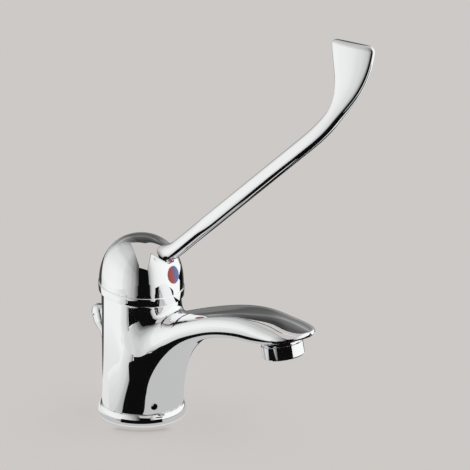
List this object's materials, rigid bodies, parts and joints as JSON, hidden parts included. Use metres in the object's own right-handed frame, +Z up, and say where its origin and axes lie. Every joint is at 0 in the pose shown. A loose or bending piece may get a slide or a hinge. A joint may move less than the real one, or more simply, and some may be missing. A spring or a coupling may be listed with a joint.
{
  "type": "elbow lever tap",
  "caption": "Chromed deck-mounted basin mixer with a raised curved spout, domed cap, long elbow lever ending in an upright blade, and a pop-up lift rod behind.",
  "frame": {"origin": "middle of the base ring's underside, on the basin deck", "axes": "+Z up along the tower's axis, -Y along the spout and the lever, +X to the side with the blue half of the marker"},
  "size_m": [0.05, 0.1889, 0.2404],
  "materials": {
    "chrome_plate": "polished",
    "raw_brass": "machined",
    "black_rubber": "matte",
    "cream_plastic": "matte",
    "white_plastic": "satin",
    "ceramic": "lapped",
    "steel": "drawn",
    "red_plastic": "gloss",
    "blue_plastic": "gloss"
  },
  "bodies": {
    "tap_body": {"body": "chrome_plate", "base_ring": "chrome_plate", "base_gasket": "black_rubber", "cartridge_base": "cream_plastic", "port_seals": "black_rubber", "fixed_disc": "ceramic", "cartridge_housing": "cream_plastic", "cartridge_nut": "raw_brass", "aerator_housing": "chrome_plate", "aerator_insert": "cream_plastic", "aerator_screen": "steel", "aerator_gasket": "black_rubber", "rod_bush": "cream_plastic"},
    "swivel": {"stem_carrier": "white_plastic", "carrier_seal": "black_rubber", "pivot_pin": "steel"},
    "shutter": {"moving_disc": "ceramic", "disc_carrier": "white_plastic"},
    "lever": {"stem": "raw_brass", "lever_handle": "chrome_plate", "handle_screw": "steel", "index_plug": "chrome_plate", "index_red": "red_plastic", "index_blue": "blue_plastic"},
    "lift": {"lift_rod": "chrome_plate", "lift_knob": "chrome_plate"}
  },
  "joints": [
    {"name": "temperature_turn", "type": "hinge", "parent": "tap_body", "child": "swivel", "pos_m": [0, 0, 0.0665], "axis": [0, 0, 1], "range_deg": [-50, 50]},
    {"name": "lever_tilt", "type": "hinge", "parent": "swivel", "child": "lever", "pos_m": [0, 0, 0.0665], "axis": [-1, 0, 0], "range_deg": [0, 25]},
    {"name": "shutter_slide", "type": "slide", "parent": "swivel", "child": "shutter", "axis": [0, -1, 0], "range_m": [0, 0.00342]},
    {"name": "lift_slide", "type": "slide", "parent": "tap_body", "child": "lift", "axis": [0, 0.289, 0.9573], "range_m": [0, 0.014]}
  ],
  "couplings": [
    {"joint": "shutter_slide", "follows": "lever_tilt", "m_per_rad": 0.007845}
  ]
}
